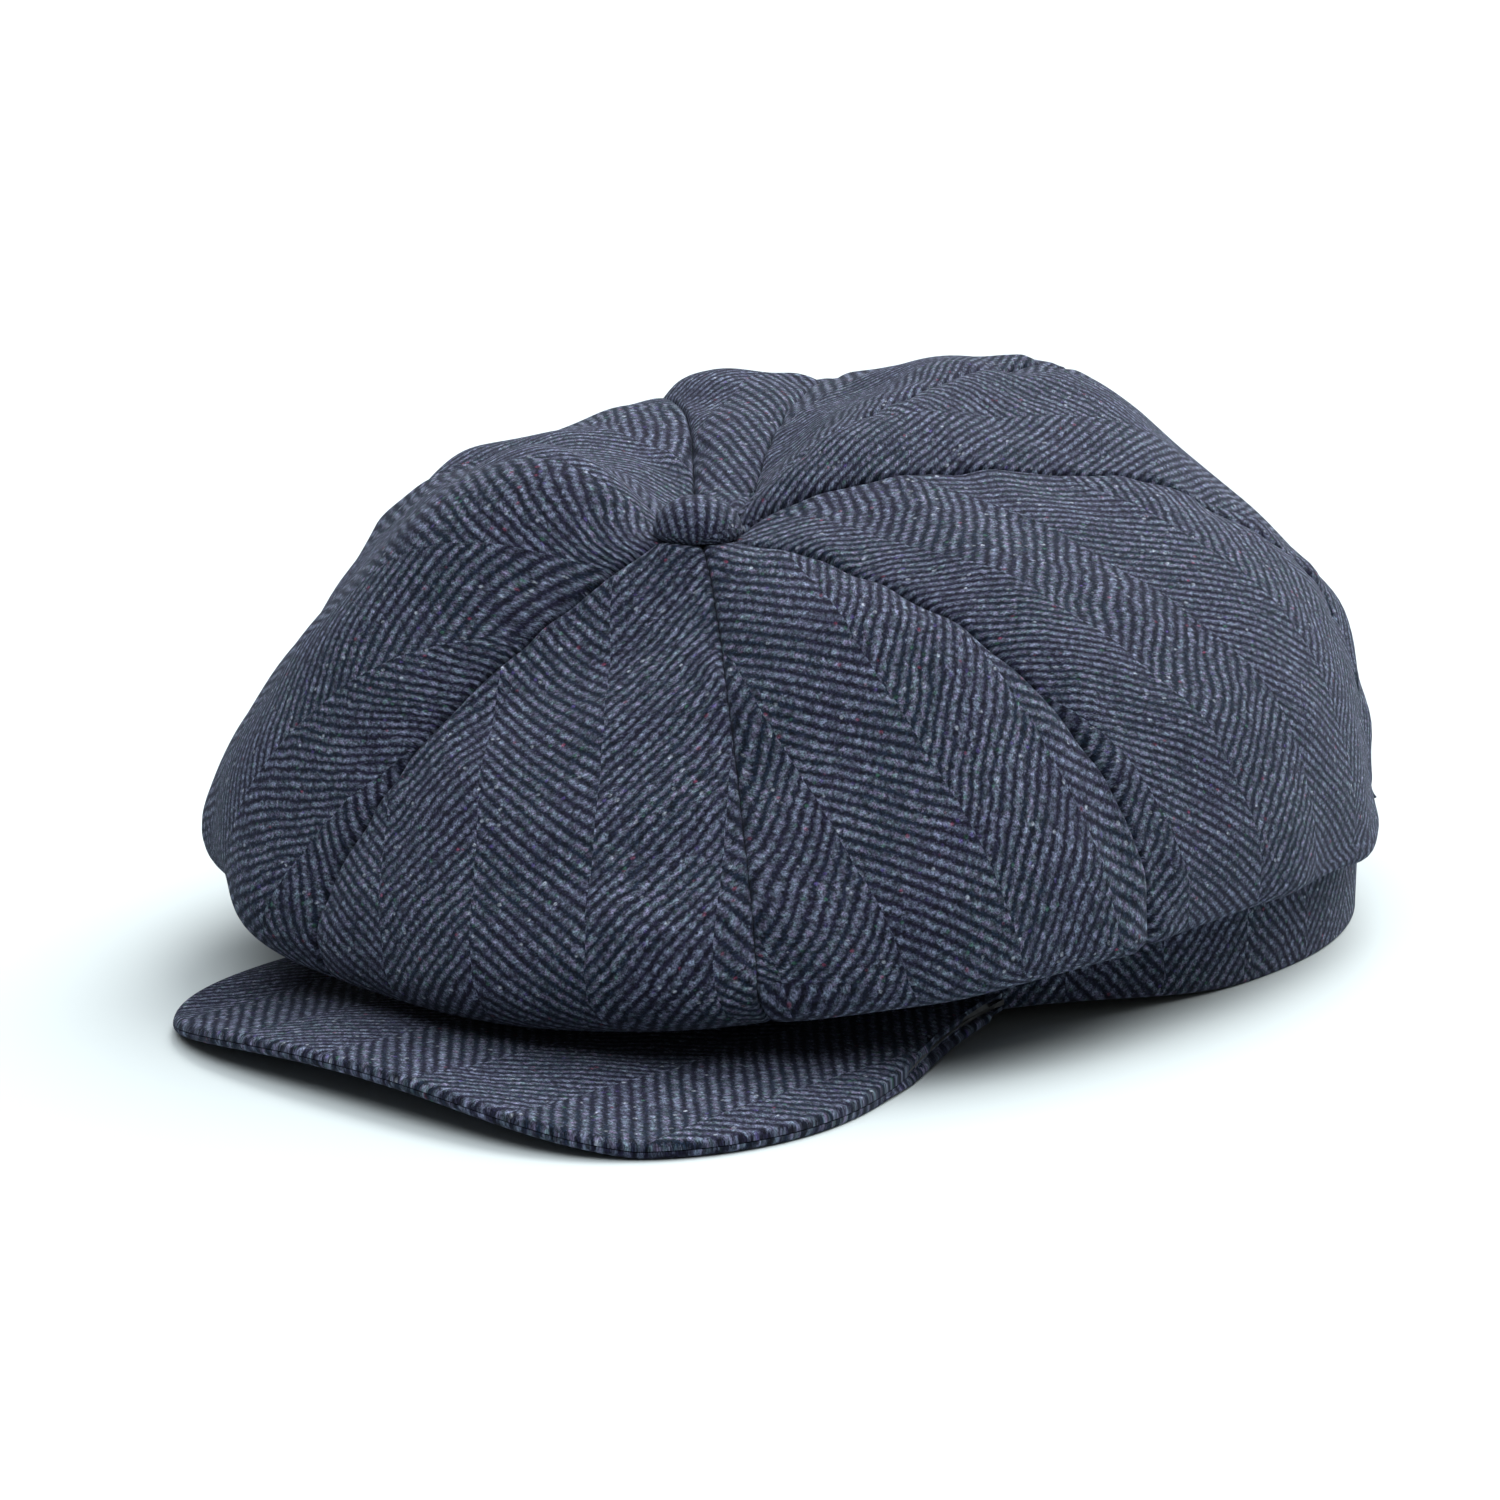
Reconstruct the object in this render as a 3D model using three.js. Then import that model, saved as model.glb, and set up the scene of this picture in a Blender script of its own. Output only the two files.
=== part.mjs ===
// Eight-panel newsboy cap in wool tweed: slumped crown, covered button, narrow headband and
// short covered visor, lined and lying on a flat surface. Millimetres, +Z up, +X to the wearer's
// left, and the visor points along -Y. "Ahead" below means towards the visor.
import * as THREE from 'three';

// Headband: an upright oval strip around the head opening.
const BAND_HALF_LENGTH = 102.5;
const BAND_HALF_WIDTH = 81.2;
const BAND_CENTRE = { left: -2.5, ahead: -2.6 };
const BAND_TOP = 27;
const BAND_FRONT_LIFT = 4.5;
const LAYER_GAP = 0.3;
const BAND_CLOTH = 1.8;
const INTERLINING = 1.0;
const SWEATBAND = 1.2;

// Crown: the button sits ahead of the head opening because the crown slumps over the visor.
const BUTTON_AHEAD = 78;
const BUTTON_SEAT_Z = 97.3;
const SEAT_RADIUS = 10;
const CENTRE_HOLE = 3.2;
const CROWN_CENTRE = { left: -16.7, ahead: 27.5 };
const CROWN_SIDE_REACH = 112;
const CROWN_FRONT_REACH = 132.9;
const CROWN_BACK_REACH = 141;
const CROWN_FRONT_BULGE = 5;
const CROWN_BACK_BULGE = 2.3;
const CROWN_FRONT_LEAN = 20;
const PANEL_CLOTH = 1.5;
const PANEL_PUFF = 3.3;
const PANEL_GAP = 0.8;
const LINING_CLOTH = 0.8;
const LINING_SCALE = new THREE.Vector3(0.9, 0.9, 0.83);
const LINING_HEM_Z = 33;
const LINING_ARCH = 3;
const LINING_GAP = 3.2;
const WIDEST_INSET = 0.3;
// Seams, in degrees from straight ahead towards the wearer's left, near the button and at the
// rim. The crown has twisted and slumped, so panels that were cut alike fan out unevenly on top.
const SEAM_ANGLES = [-7, 43, 83, 142, 183, 225, 242, 278, 353];
const RIM_SEAM_ANGLES = [-7, 43, 83, 142, 181, 218, 254, 296, 353];
const SEAM_BEND_START = 0.3;
// How the slumped crown changes around the cap: a mean, then the cosine and sine amplitudes of
// one, two and three waves per turn.
const EQUATOR_HEIGHT = [29, [-1.1, -4.7], [0, -1.2]];
const SLOPE_AT_BUTTON = [7.6, [-20.2, 0.7], [-5.9, -36.5], [-16.6, -2.6]];
const SLOPE_REACH = [0.339, [0.137, -0.186], [0.074, -0.01]];
const SHOULDER_HEIGHT = [0.934, [-1.089, -0.263], [-0.254, 0.28], [0.08, 0.016]];
const LEAST_SHOULDER = 0.22;
const FOLD_HEIGHT = [14.6, [-7, 0], [-4.4, 0]];
const FOLD_REACH = 0.45;
const PANEL_NAMES = [
  'front_left', 'left_front', 'left_back', 'back_left',
  'back_right', 'right_back', 'right_front', 'front_right',
];

// Visor: a stiff board between two cloth covers, sewn to the front of the headband.
const VISOR_ROOT_ANGLE = 55.8;
const VISOR_HALF_WIDTH = 87.3;
const VISOR_AHEAD = 179;
const VISOR_SQUARENESS = 3.76;
const VISOR_ARCH = 4.5;
const VISOR_CONTACT = 62;
const VISOR_SEAM_CLEARANCE = 1.2;
const VISOR_COVER = 0.9;
const VISOR_BOARD = 1.2;
const VISOR_HEM = 1.6;

// Covered button.
const BUTTON_RADIUS = 9.3;
const BUTTON_HEIGHT = 7.4;
const BUTTON_CLOTH = 0.7;
const BUTTON_METAL = 0.5;

const TWEED = { color: 0x33394a, roughness: 0.95, metalness: 0 };
const SATIN = { color: 0x1d1f26, roughness: 0.55, metalness: 0 };
const CANVAS = { color: 0xd9d2c0, roughness: 0.9, metalness: 0 };
const BOARD = { color: 0x2b2b2b, roughness: 0.6, metalness: 0 };
const STEEL = { color: 0xb8bcc0, roughness: 0.35, metalness: 1 };
const LABEL = { color: 0xe6e6e2, roughness: 0.8, metalness: 0 };

const radians = THREE.MathUtils.degToRad;
const { lerp, clamp, smoothstep } = THREE.MathUtils;

// A point given by its distance to the left, ahead and up.
function place(left, ahead, up) {
  return new THREE.Vector3(left, -ahead, up);
}

// The value of one of the wave lists above at an angle.
function around([mean, ...waves], angle) {
  return waves.reduce(
    (sum, [c, s], i) => sum + c * Math.cos((i + 1) * angle) + s * Math.sin((i + 1) * angle),
    mean,
  );
}

function bezier(p0, p1, p2, p3, t) {
  const s = 1 - t;
  return p0.clone().multiplyScalar(s * s * s)
    .addScaledVector(p1, 3 * t * s * s)
    .addScaledVector(p2, 3 * t * t * s)
    .addScaledVector(p3, t * t * t);
}

function evenSteps(from, to, count) {
  return Array.from({ length: count + 1 }, (_, i) => lerp(from, to, i / count));
}

function meshFrom(name, geometry, finish) {
  const mesh = new THREE.Mesh(geometry, new THREE.MeshStandardMaterial(finish));
  mesh.name = name;
  return mesh;
}

// A closed body from rows of points, each row a closed loop. It is capped at both ends, or
// joined end to end where ring is true. Each loop runs out along one face and back along the
// other, and both faces split their quads along the same diagonal so that a thin sheet's two
// faces never cross.
function loopSolid(loops, ring) {
  const size = loops[0].length;
  const half = size / 2;
  const positions = loops.flat().flatMap((p) => [p.x, p.y, p.z]);
  const index = [];
  const last = ring ? loops.length : loops.length - 1;
  for (let i = 0; i < last; i += 1) {
    const a = i * size;
    const b = ((i + 1) % loops.length) * size;
    for (let j = 0; j < size; j += 1) {
      const k = (j + 1) % size;
      if (j < half) {
        index.push(a + j, b + j, b + k, a + j, b + k, a + k);
      } else {
        index.push(a + j, b + j, a + k, b + j, b + k, a + k);
      }
    }
  }
  if (!ring) {
    const end = (loops.length - 1) * size;
    for (let j = 0; j < half - 1; j += 1) {
      const k = size - 1 - j;
      index.push(j, j + 1, k - 1, j, k - 1, k);
      index.push(end + j, end + k - 1, end + j + 1, end + j, end + k, end + k - 1);
    }
  }
  const geometry = new THREE.BufferGeometry();
  geometry.setAttribute('position', new THREE.Float32BufferAttribute(positions, 3));
  geometry.setIndex(index);
  return geometry;
}

// A sheet of cloth: surface(u, v) is its outer face, and the inner face lies one thickness
// behind it. The sheet has a row of points at each value in rows.
function sheetSolid(surface, thickness, rows, columns) {
  const step = 1e-3;
  const loops = [];
  for (const u of rows) {
    const outer = [];
    const inner = [];
    for (let j = 0; j <= columns; j += 1) {
      const v = j / columns;
      const point = surface(u, v);
      const alongU = surface(Math.min(u + step, 1), v).sub(surface(Math.max(u - step, 0), v));
      const alongV = surface(u, Math.min(v + step, 1)).sub(surface(u, Math.max(v - step, 0)));
      const normal = alongU.cross(alongV).normalize();
      outer.push(point);
      inner.push(point.clone().addScaledVector(normal, -thickness));
    }
    loops.push([...outer, ...inner.reverse()]);
  }
  return loopSolid(loops, false);
}

// --- Crown -----------------------------------------------------------------------------------

// The widest line of the crown, seen from above an egg that reaches further ahead than back.
function crownEquator(angle) {
  const sin = Math.sin(angle);
  const cos = Math.cos(angle);
  const corner = cos > 0 ? CROWN_FRONT_BULGE : CROWN_BACK_BULGE;
  const bulge = corner * Math.abs(Math.sin(2 * angle));
  const reach = cos > 0 ? CROWN_FRONT_REACH : CROWN_BACK_REACH;
  return place(
    CROWN_CENTRE.left + CROWN_SIDE_REACH * sin + bulge * Math.sign(sin),
    CROWN_CENTRE.ahead + reach * cos + bulge * Math.sign(cos),
    around(EQUATOR_HEIGHT, angle),
  );
}

function bandPoint(angle, outset, up) {
  return place(
    BAND_CENTRE.left + (BAND_HALF_WIDTH + outset) * Math.sin(angle),
    BAND_CENTRE.ahead + (BAND_HALF_LENGTH + outset) * Math.cos(angle),
    up,
  );
}

// The point of the headband that lies straight in from a point of the crown's equator.
function seamPoint(equator) {
  const outset = BAND_CLOTH + LAYER_GAP;
  const angle = Math.atan2(
    (equator.x - BAND_CENTRE.left) / (BAND_HALF_WIDTH + outset),
    (-equator.y - BAND_CENTRE.ahead) / (BAND_HALF_LENGTH + outset),
  );
  return bandPoint(angle, outset, BAND_TOP);
}

// One line of the crown from the hole under the button over the top to the equator, then
// under in a loose fold and up to the top of the headband.
const SEAT_END = 0.06;
const EQUATOR = 0.66;
function meridianRows(above, below) {
  return [0, ...evenSteps(SEAT_END, EQUATOR, above), ...evenSteps(EQUATOR, 1, below).slice(1)];
}

function crownMeridian(angle, t) {
  const centre = place(0, BUTTON_AHEAD, BUTTON_SEAT_Z);
  const equator = crownEquator(angle);
  const outward = equator.clone().sub(centre).setZ(0);
  const distance = outward.length() - SEAT_RADIUS;
  outward.normalize();
  const lean = radians(CROWN_FRONT_LEAN) * Math.max(Math.cos(angle), 0) ** 2;
  const fall = outward.clone().multiplyScalar(Math.sin(lean)).setZ(-Math.cos(lean));
  if (t < SEAT_END) {
    return centre.addScaledVector(outward, lerp(CENTRE_HOLE, SEAT_RADIUS, t / SEAT_END));
  }
  if (t < EQUATOR) {
    const start = centre.addScaledVector(outward, SEAT_RADIUS);
    const rise = radians(around(SLOPE_AT_BUTTON, angle));
    const pull = around(SLOPE_REACH, angle) * distance;
    const share = Math.max(LEAST_SHOULDER, around(SHOULDER_HEIGHT, angle));
    const shoulder = share * (BUTTON_SEAT_Z - equator.z);
    const leave = start.clone().addScaledVector(outward, pull * Math.cos(rise));
    leave.z += pull * Math.sin(rise);
    const arrive = equator.clone().addScaledVector(fall, -shoulder);
    return bezier(start, leave, arrive, equator, (t - SEAT_END) / (EQUATOR - SEAT_END));
  }
  const seam = seamPoint(equator);
  const foldZ = around(FOLD_HEIGHT, angle);
  const drop = equator.clone().addScaledVector(fall, equator.z - foldZ);
  const under = seam.clone().lerp(equator, FOLD_REACH).setZ(foldZ);
  return bezier(equator, drop, under, seam, (t - EQUATOR) / (1 - EQUATOR));
}

// A panel's face between two seams: the meridians, puffed out between the seams and drawn in
// at them.
const CROWN_HEART = place(0, 27.7, 45);
function seamAngle(index, t) {
  const bend = smoothstep(t, SEAM_BEND_START, EQUATOR);
  return radians(lerp(SEAM_ANGLES[index], RIM_SEAM_ANGLES[index], bend));
}

function panelPoint(index, t, across) {
  const angle = lerp(seamAngle(index, t), seamAngle(index + 1, t), across);
  const point = crownMeridian(angle, t);
  const puff = PANEL_PUFF * Math.sin(Math.PI * t) ** 0.8
    * (Math.sin(Math.PI * across) ** 0.6 - 0.62);
  return point.addScaledVector(point.clone().sub(CROWN_HEART).normalize(), puff);
}

// The share of a panel's width that half the gap between neighbours takes, at a seam.
function seamInset(index, t, gap) {
  const width = panelPoint(index, t, 0).distanceTo(panelPoint(index, t, 1));
  return Math.min(gap / 2 / width, WIDEST_INSET);
}

function crownPanel(index) {
  const surface = (u, v) => {
    const inset = seamInset(index, u, PANEL_GAP);
    return panelPoint(index, u, lerp(inset, 1 - inset, v));
  };
  const rows = meridianRows(12, 9);
  return meshFrom(`crown_panel_${PANEL_NAMES[index]}`, sheetSolid(surface, PANEL_CLOTH, rows, 7), TWEED);
}

// The lining is a smaller bag of the same eight gores. Below its widest line it runs in to its
// hem above the headband in a shallow arch.
const LINING_HEART = place(0, 10, 45);
function shrunk(point) {
  return point.sub(LINING_HEART).multiply(LINING_SCALE).add(LINING_HEART);
}

function liningPoint(index, t, across) {
  if (t > EQUATOR) {
    const rim = shrunk(panelPoint(index, EQUATOR, across));
    const hem = shrunk(panelPoint(index, 1, across)).setZ(LINING_HEM_Z);
    const s = (t - EQUATOR) / (1 - EQUATOR);
    const arch = LINING_ARCH * Math.sin(Math.PI * s);
    return rim.lerp(hem, s).add(place(0, 0, arch));
  }
  return shrunk(panelPoint(index, t, across));
}

function liningGore(index) {
  const surface = (u, v) => {
    const inset = seamInset(index, u, LINING_GAP);
    return liningPoint(index, u, lerp(inset, 1 - inset, v));
  };
  const rows = meridianRows(9, 4);
  return meshFrom(`lining_gore_${PANEL_NAMES[index]}`, sheetSolid(surface, LINING_CLOTH, rows, 5), SATIN);
}

// --- Headband --------------------------------------------------------------------------------

// The bottom of the band lies flat behind and lifts to meet the visor in front.
function bandBottom(angle) {
  const turn = Math.abs(THREE.MathUtils.euclideanModulo(angle + Math.PI, 2 * Math.PI) - Math.PI);
  return BAND_FRONT_LIFT * (1 - smoothstep(turn, radians(58), radians(95)));
}

function bandRing(name, outset, thickness, bottom, top, finish, steps) {
  const loops = [];
  for (let i = 0; i < steps; i += 1) {
    const angle = (2 * Math.PI * i) / steps;
    const low = bandBottom(angle) + bottom;
    loops.push([
      bandPoint(angle, outset, low),
      bandPoint(angle, outset, top),
      bandPoint(angle, outset - thickness, top),
      bandPoint(angle, outset - thickness, low),
    ]);
  }
  return meshFrom(name, loopSolid(loops, true), finish);
}

function headband() {
  const cloth = BAND_CLOTH;
  const stiffener = -LAYER_GAP;
  const sweat = stiffener - INTERLINING - LAYER_GAP;
  return [
    bandRing('headband_outer', cloth, BAND_CLOTH, 0, BAND_TOP - LAYER_GAP, TWEED, 72),
    bandRing('headband_interlining', stiffener, INTERLINING, 1, BAND_TOP - 1, CANVAS, 60),
    bandRing('sweatband', sweat, SWEATBAND, 0.6, BAND_TOP, SATIN, 60),
  ];
}

// A blank care label hangs inside the back of the sweatband.
function careLabel() {
  const halfTurn = radians(12);
  const thickness = 0.5;
  const inside = SWEATBAND + INTERLINING + 3 * LAYER_GAP + thickness;
  const surface = (u, v) => bandPoint(
    Math.PI + lerp(-halfTurn, halfTurn, v),
    -inside,
    lerp(BAND_TOP - 2, BAND_TOP - 17, u),
  );
  return meshFrom('care_label', sheetSolid(surface, thickness, evenSteps(0, 1, 2), 6), LABEL);
}

// --- Visor -----------------------------------------------------------------------------------

function visorRoot(side) {
  const outset = BAND_CLOTH + VISOR_SEAM_CLEARANCE;
  return bandPoint(side * radians(VISOR_ROOT_ANGLE), outset, BAND_FRONT_LIFT);
}

// The outer edge is a squarish arc that touches down at its two corners.
function visorEdge(side) {
  const turn = (side * Math.PI) / 2;
  const root = visorRoot(Math.sign(side) || 1);
  const share = 2 / VISOR_SQUARENESS;
  const cos = Math.max(Math.cos(turn), 0);
  const spread = Math.abs(Math.sin(turn)) ** share;
  const narrowing = 1 - ((1 - cos) ** 6) * (1 - Math.abs(root.x) / VISOR_HALF_WIDTH);
  const left = Math.sign(side) * VISOR_HALF_WIDTH * spread * narrowing;
  const ahead = lerp(-root.y, VISOR_AHEAD, cos ** share);
  const arch = VISOR_ARCH * Math.max(0, 1 - (left / VISOR_CONTACT) ** 2);
  const back = clamp((-root.y + 0.35 * (VISOR_AHEAD + root.y) - ahead)
    / (0.35 * (VISOR_AHEAD + root.y)), 0, 1);
  return place(left, ahead, Math.max(arch, back * BAND_FRONT_LIFT));
}

// One layer of the visor, from the headband seam to short of the outer edge by a hem.
function visorLayer(name, lift, thickness, hem, finish) {
  const across = 36;
  const deep = 6;
  const reach = 0.985;
  const loops = [];
  for (let i = 0; i <= across; i += 1) {
    const side = lerp(-reach, reach, i / across);
    const root = visorRoot(side);
    const edge = visorEdge(side);
    const length = Math.hypot(edge.x - root.x, edge.y - root.y);
    const end = Math.max(1 - hem / Math.max(length, hem * 2), 0.2);
    const low = [];
    for (let j = 0; j <= deep; j += 1) {
      const t = (end * j) / deep;
      const point = root.clone().lerp(edge, t);
      point.z = lerp(root.z, edge.z, t ** 1.3) + lift;
      low.push(point);
    }
    const high = low.map((p) => p.clone().setZ(p.z + thickness)).reverse();
    loops.push([...low, ...high]);
  }
  return meshFrom(name, loopSolid(loops, false), finish);
}

function visor() {
  const boardLift = VISOR_COVER + LAYER_GAP;
  const topLift = boardLift + VISOR_BOARD + LAYER_GAP;
  return [
    visorLayer('visor_bottom_cover', 0, VISOR_COVER, 0, TWEED),
    visorLayer('visor_board', boardLift, VISOR_BOARD, VISOR_HEM, BOARD),
    visorLayer('visor_top_cover', topLift, VISOR_COVER, 0, TWEED),
  ];
}

// --- Button ----------------------------------------------------------------------------------

// A domed cap of given radius and height with an open underside, as a profile for turning.
function domeProfile(radius, height, wall, foot) {
  const steps = 7;
  const outer = [];
  const inner = [];
  for (let i = 0; i <= steps; i += 1) {
    const turn = (Math.PI / 2) * (i / steps);
    const round = Math.sin(turn) ** 0.75;
    outer.push(new THREE.Vector2(radius * round, foot + (height - foot) * Math.cos(turn)));
    inner.push(new THREE.Vector2(
      (radius - wall) * round,
      foot + (height - wall - foot) * Math.cos(turn),
    ));
  }
  outer[0].x = 0;
  inner[0].x = 0;
  return [...inner, ...outer.reverse()];
}

function turned(name, profile, finish, segments) {
  const geometry = new THREE.LatheGeometry(profile, segments);
  geometry.rotateX(Math.PI / 2);
  const mesh = meshFrom(name, geometry, finish);
  mesh.position.copy(place(0, BUTTON_AHEAD, BUTTON_SEAT_Z));
  return mesh;
}

function button() {
  const foot = 0.6;
  const shellRadius = BUTTON_RADIUS - BUTTON_CLOTH - LAYER_GAP;
  const shellTop = BUTTON_HEIGHT - BUTTON_CLOTH - LAYER_GAP;
  const plateTop = foot + 1.1;
  const plateRadius = shellRadius - 1.6;
  const plate = [[0, foot], [plateRadius, foot], [plateRadius, plateTop], [0, plateTop]]
    .map(([r, z]) => new THREE.Vector2(r, z));
  const loop = new THREE.TorusGeometry(1.2, 0.35, 8, 14);
  loop.rotateX(Math.PI / 2);
  const shank = meshFrom('button_shank', loop, STEEL);
  shank.position.copy(place(0, BUTTON_AHEAD, BUTTON_SEAT_Z + foot - 1.2 - 0.35 - LAYER_GAP));
  return [
    turned('button_cover', domeProfile(BUTTON_RADIUS, BUTTON_HEIGHT, BUTTON_CLOTH, foot), TWEED, 28),
    turned('button_shell', domeProfile(shellRadius, shellTop, BUTTON_METAL, foot), STEEL, 24),
    turned('button_back_plate', plate, STEEL, 20),
    shank,
  ];
}

// --- Assembly --------------------------------------------------------------------------------

const cap = new THREE.Group();
for (let i = 0; i < PANEL_NAMES.length; i += 1) {
  cap.add(crownPanel(i), liningGore(i));
}
cap.add(...headband(), careLabel(), ...visor(), ...button());

// The origin is the middle of the footprint, on the surface that the cap lies on.
const box = new THREE.Box3().setFromObject(cap, true);
const middle = box.getCenter(new THREE.Vector3());
cap.position.set(-middle.x, -middle.y, -box.min.z);

export default cap;
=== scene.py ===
"""Eight-panel newsboy cap in herringbone wool tweed, lying on a pale floor.

Shapes are worked out in millimetres and "cap coordinates": x to the wearer's left, y backwards
and z up, with the button on x = 0. They become metres in the frame's coordinates when a mesh is
made. "Ahead" means towards the visor, which is -y.
"""

import math

import bpy
import numpy as np
from mathutils import Matrix, Vector


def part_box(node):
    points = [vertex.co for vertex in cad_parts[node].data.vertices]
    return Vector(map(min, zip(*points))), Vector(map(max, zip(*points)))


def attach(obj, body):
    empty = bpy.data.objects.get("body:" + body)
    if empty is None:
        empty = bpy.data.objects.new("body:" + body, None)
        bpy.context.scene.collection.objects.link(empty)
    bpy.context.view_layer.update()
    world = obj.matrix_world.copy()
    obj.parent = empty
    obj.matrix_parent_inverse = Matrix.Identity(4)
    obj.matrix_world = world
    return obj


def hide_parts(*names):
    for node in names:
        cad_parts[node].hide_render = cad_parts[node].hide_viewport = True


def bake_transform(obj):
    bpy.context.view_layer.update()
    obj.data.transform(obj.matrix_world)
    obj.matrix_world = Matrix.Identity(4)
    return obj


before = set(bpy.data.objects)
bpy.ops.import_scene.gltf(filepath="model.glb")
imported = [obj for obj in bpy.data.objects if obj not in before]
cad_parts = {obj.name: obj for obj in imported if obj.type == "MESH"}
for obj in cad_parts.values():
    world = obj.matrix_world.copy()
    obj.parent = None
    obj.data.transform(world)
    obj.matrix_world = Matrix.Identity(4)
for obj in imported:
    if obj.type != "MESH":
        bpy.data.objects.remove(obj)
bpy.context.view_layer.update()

MM = 0.001
PI = math.pi

# Headband: the oval inside it, and its strip of cloth.
BAND_HALF_LENGTH = 102.5
BAND_HALF_WIDTH = 81.2
BAND_LEFT = -2.5
BAND_AHEAD = -2.6
BAND_TOP = 27.0
BAND_FRONT_LIFT = 4.5
BAND_CLOTH = 1.8
LAYER_GAP = 0.3
BAND_STEPS = 360
BAND_SWAY = 0.5
# The turns from straight ahead at which the lift of the front begins to fade and is gone.
BAND_LIFT_ENDS = np.radians([58, 95])

# Strips inside the headband. An outset is measured from the headband's inner face.
STIFFENING_CLOTH = 1.0
STIFFENING_INSET = 1.0
SWEATBAND_CLOTH = 1.2
SWEATBAND_OUTSET = -1.6
SWEATBAND_BOTTOM = 0.6
LABEL_CLOTH = 0.4
LABEL_OUTSET = -3.4
LABEL_HALF_TURN = 12.0
LABEL_HEIGHT = 15.0
LABEL_DROP = 2.0

# Crown.
BUTTON_AHEAD = 78.0
BUTTON_SEAT_Z = 97.3
SEAT_RADIUS = 10.0
CENTRE_HOLE = 2.6
CROWN_LEFT = -16.7
CROWN_AHEAD = 27.5
CROWN_SIDE_REACH = 112.0
CROWN_FRONT_REACH = 132.9
CROWN_BACK_REACH = 141.0
CROWN_FRONT_BULGE = 5.0
CROWN_BACK_BULGE = 2.3
CROWN_FRONT_LEAN = 20.0
# Shares of a panel's length: where the flat seat under the button ends, and its widest line.
SEAT_END = 0.06
EQUATOR = 0.66
# The point that the panels puff out from, and how far each does, in the order of the names below.
CROWN_HEART_AHEAD = 27.7
CROWN_HEART_UP = 45.0
PANEL_PUFF = [2.9, 2.3, 1.9, 2.0, 3.2, 3.8, 2.0, 2.8]
PANEL_CLOTH = 1.3
PANEL_ROWS = 150
PANEL_COLUMNS = 57
# Seams in degrees from straight ahead towards the wearer's left: near the button, and at the rim.
SEAM_ANGLES = [-7, 43, 83, 142, 183, 225, 242, 278, 353]
RIM_SEAM_ANGLES = [-7, 43, 83, 142, 181, 218, 254, 296, 353]
SEAM_BEND_START = 0.3
# How the slumped crown changes around the cap: a mean, then the cosine and sine amplitudes of
# one, two and three waves per turn.
EQUATOR_HEIGHT = [29, (-1.1, -4.7), (0, -1.2)]
SLOPE_AT_BUTTON = [7.6, (-20.2, 0.7), (-5.9, -36.5), (-16.6, -2.6)]
SLOPE_REACH = [0.339, (0.137, -0.186), (0.074, -0.01)]
SHOULDER_HEIGHT = [0.934, (-1.089, -0.263), (-0.254, 0.28), (0.08, 0.016)]
LEAST_SHOULDER = 0.22
FOLD_HEIGHT = [14.6, (-7, 0), (-4.4, 0)]
FOLD_REACH = 0.45
# Where the slumped cloth swells or sinks: left, ahead and up of the place, its reach, its height.
LUMPS = [
    (-78, 146, 22, 20, -5.7), (-104, 92, 70, 18, -2.3), (-103, 44, 97, 12, 2.1), (-96, 70, 91, 14, 2.1),
    (-100, 22, 104, 20, -3.9), (-88, -22, 108, 14, 3.3), (-62, -51, 114, 15, -1.9),
    (-14, -53, 116, 14, 1.5), (14, -71, 100, 22, -2.8), (40, -82, 68, 15, 2.1), (61, -75, 43, 18, -3.2),
    (80, -46, 25, 14, 2.5),
]
PANEL_NAMES = [
    "front_left", "left_front", "left_back", "back_left",
    "back_right", "right_back", "right_front", "front_right",
]
# How full a panel is between its seams and between its ends: less than 1 is fuller than a sine.
PUFF_ACROSS = 0.75
PUFF_ALONG = 0.8
# How far a seam lies inside the meridians, as a share of the puffs on its two sides.
SEAM_SINK = 0.31
# Wrinkles: their heights, and where along a panel they and the lumps fade out.
BROAD_SWELL = 1.1
MEDIUM_SWELL = 0.45
PUCKER_HEIGHT = 0.45
PUCKER_REACH = 9.0
WRINKLES_BEGIN = (0.02, 0.25)
WRINKLES_FADE = (EQUATOR, 0.84)
LUMPS_FADE = (0.78, 1.0)
# A seam edge: the radius it rolls over, less where the panel is narrow, and how it draws in.
SEAM_ROLL = 1.5
SEAM_ROLL_SHARE = 0.32
SEAM_DRAW = 0.6
SEAM_DRAW_WIDTHS = (4, 30)
SEAM_DRAW_REACH = 3.0

# Lining: the crown made smaller about its heart, with a floor that runs in to a hem.
LINING_SCALE = np.array([0.9, 0.9, 0.83])
LINING_HEART = (0, 10, 45)
LINING_HEM_Z = 33.0
LINING_ARCH = 3.0
LINING_CLOTH = 0.6
LINING_ROWS = 70
LINING_COLUMNS = 25

# Visor: its squarish outline, arched up from the surface between the places where it rests.
VISOR_ROOT_ANGLE = 55.8
VISOR_HALF_WIDTH = 84.0
VISOR_LEFT = 7.3
VISOR_AHEAD = 185.0
VISOR_SQUARENESS = 4.3
VISOR_ARCH = 6.0
VISOR_CONTACT = 66.0
VISOR_THICKNESS = 3.6
VISOR_COVER = 0.81
VISOR_BOARD = 1.2
# How far the board's edge lies inside the visor's edge.
VISOR_BOARD_HEM = 1.8
# Gaps from the headband's cloth to the ends of the visor's outline, its covers and its board.
VISOR_EDGE_GAP = 1.2
VISOR_COVER_GAP = 0.15
VISOR_BOARD_GAP = 0.6
# How suddenly the outline leaves the headband, and the share of its length over which it comes
# down to the surface from there.
VISOR_LEAVE_POWER = 6
VISOR_ROOT_RISE = 0.35
# How the height falls from root to edge: more than 1 holds it up for longer.
VISOR_FALL_POWER = 1.3
VISOR_SIDE_END = 0.992
VISOR_STEPS = 181
VISOR_INNER_ROWS = 33
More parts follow.
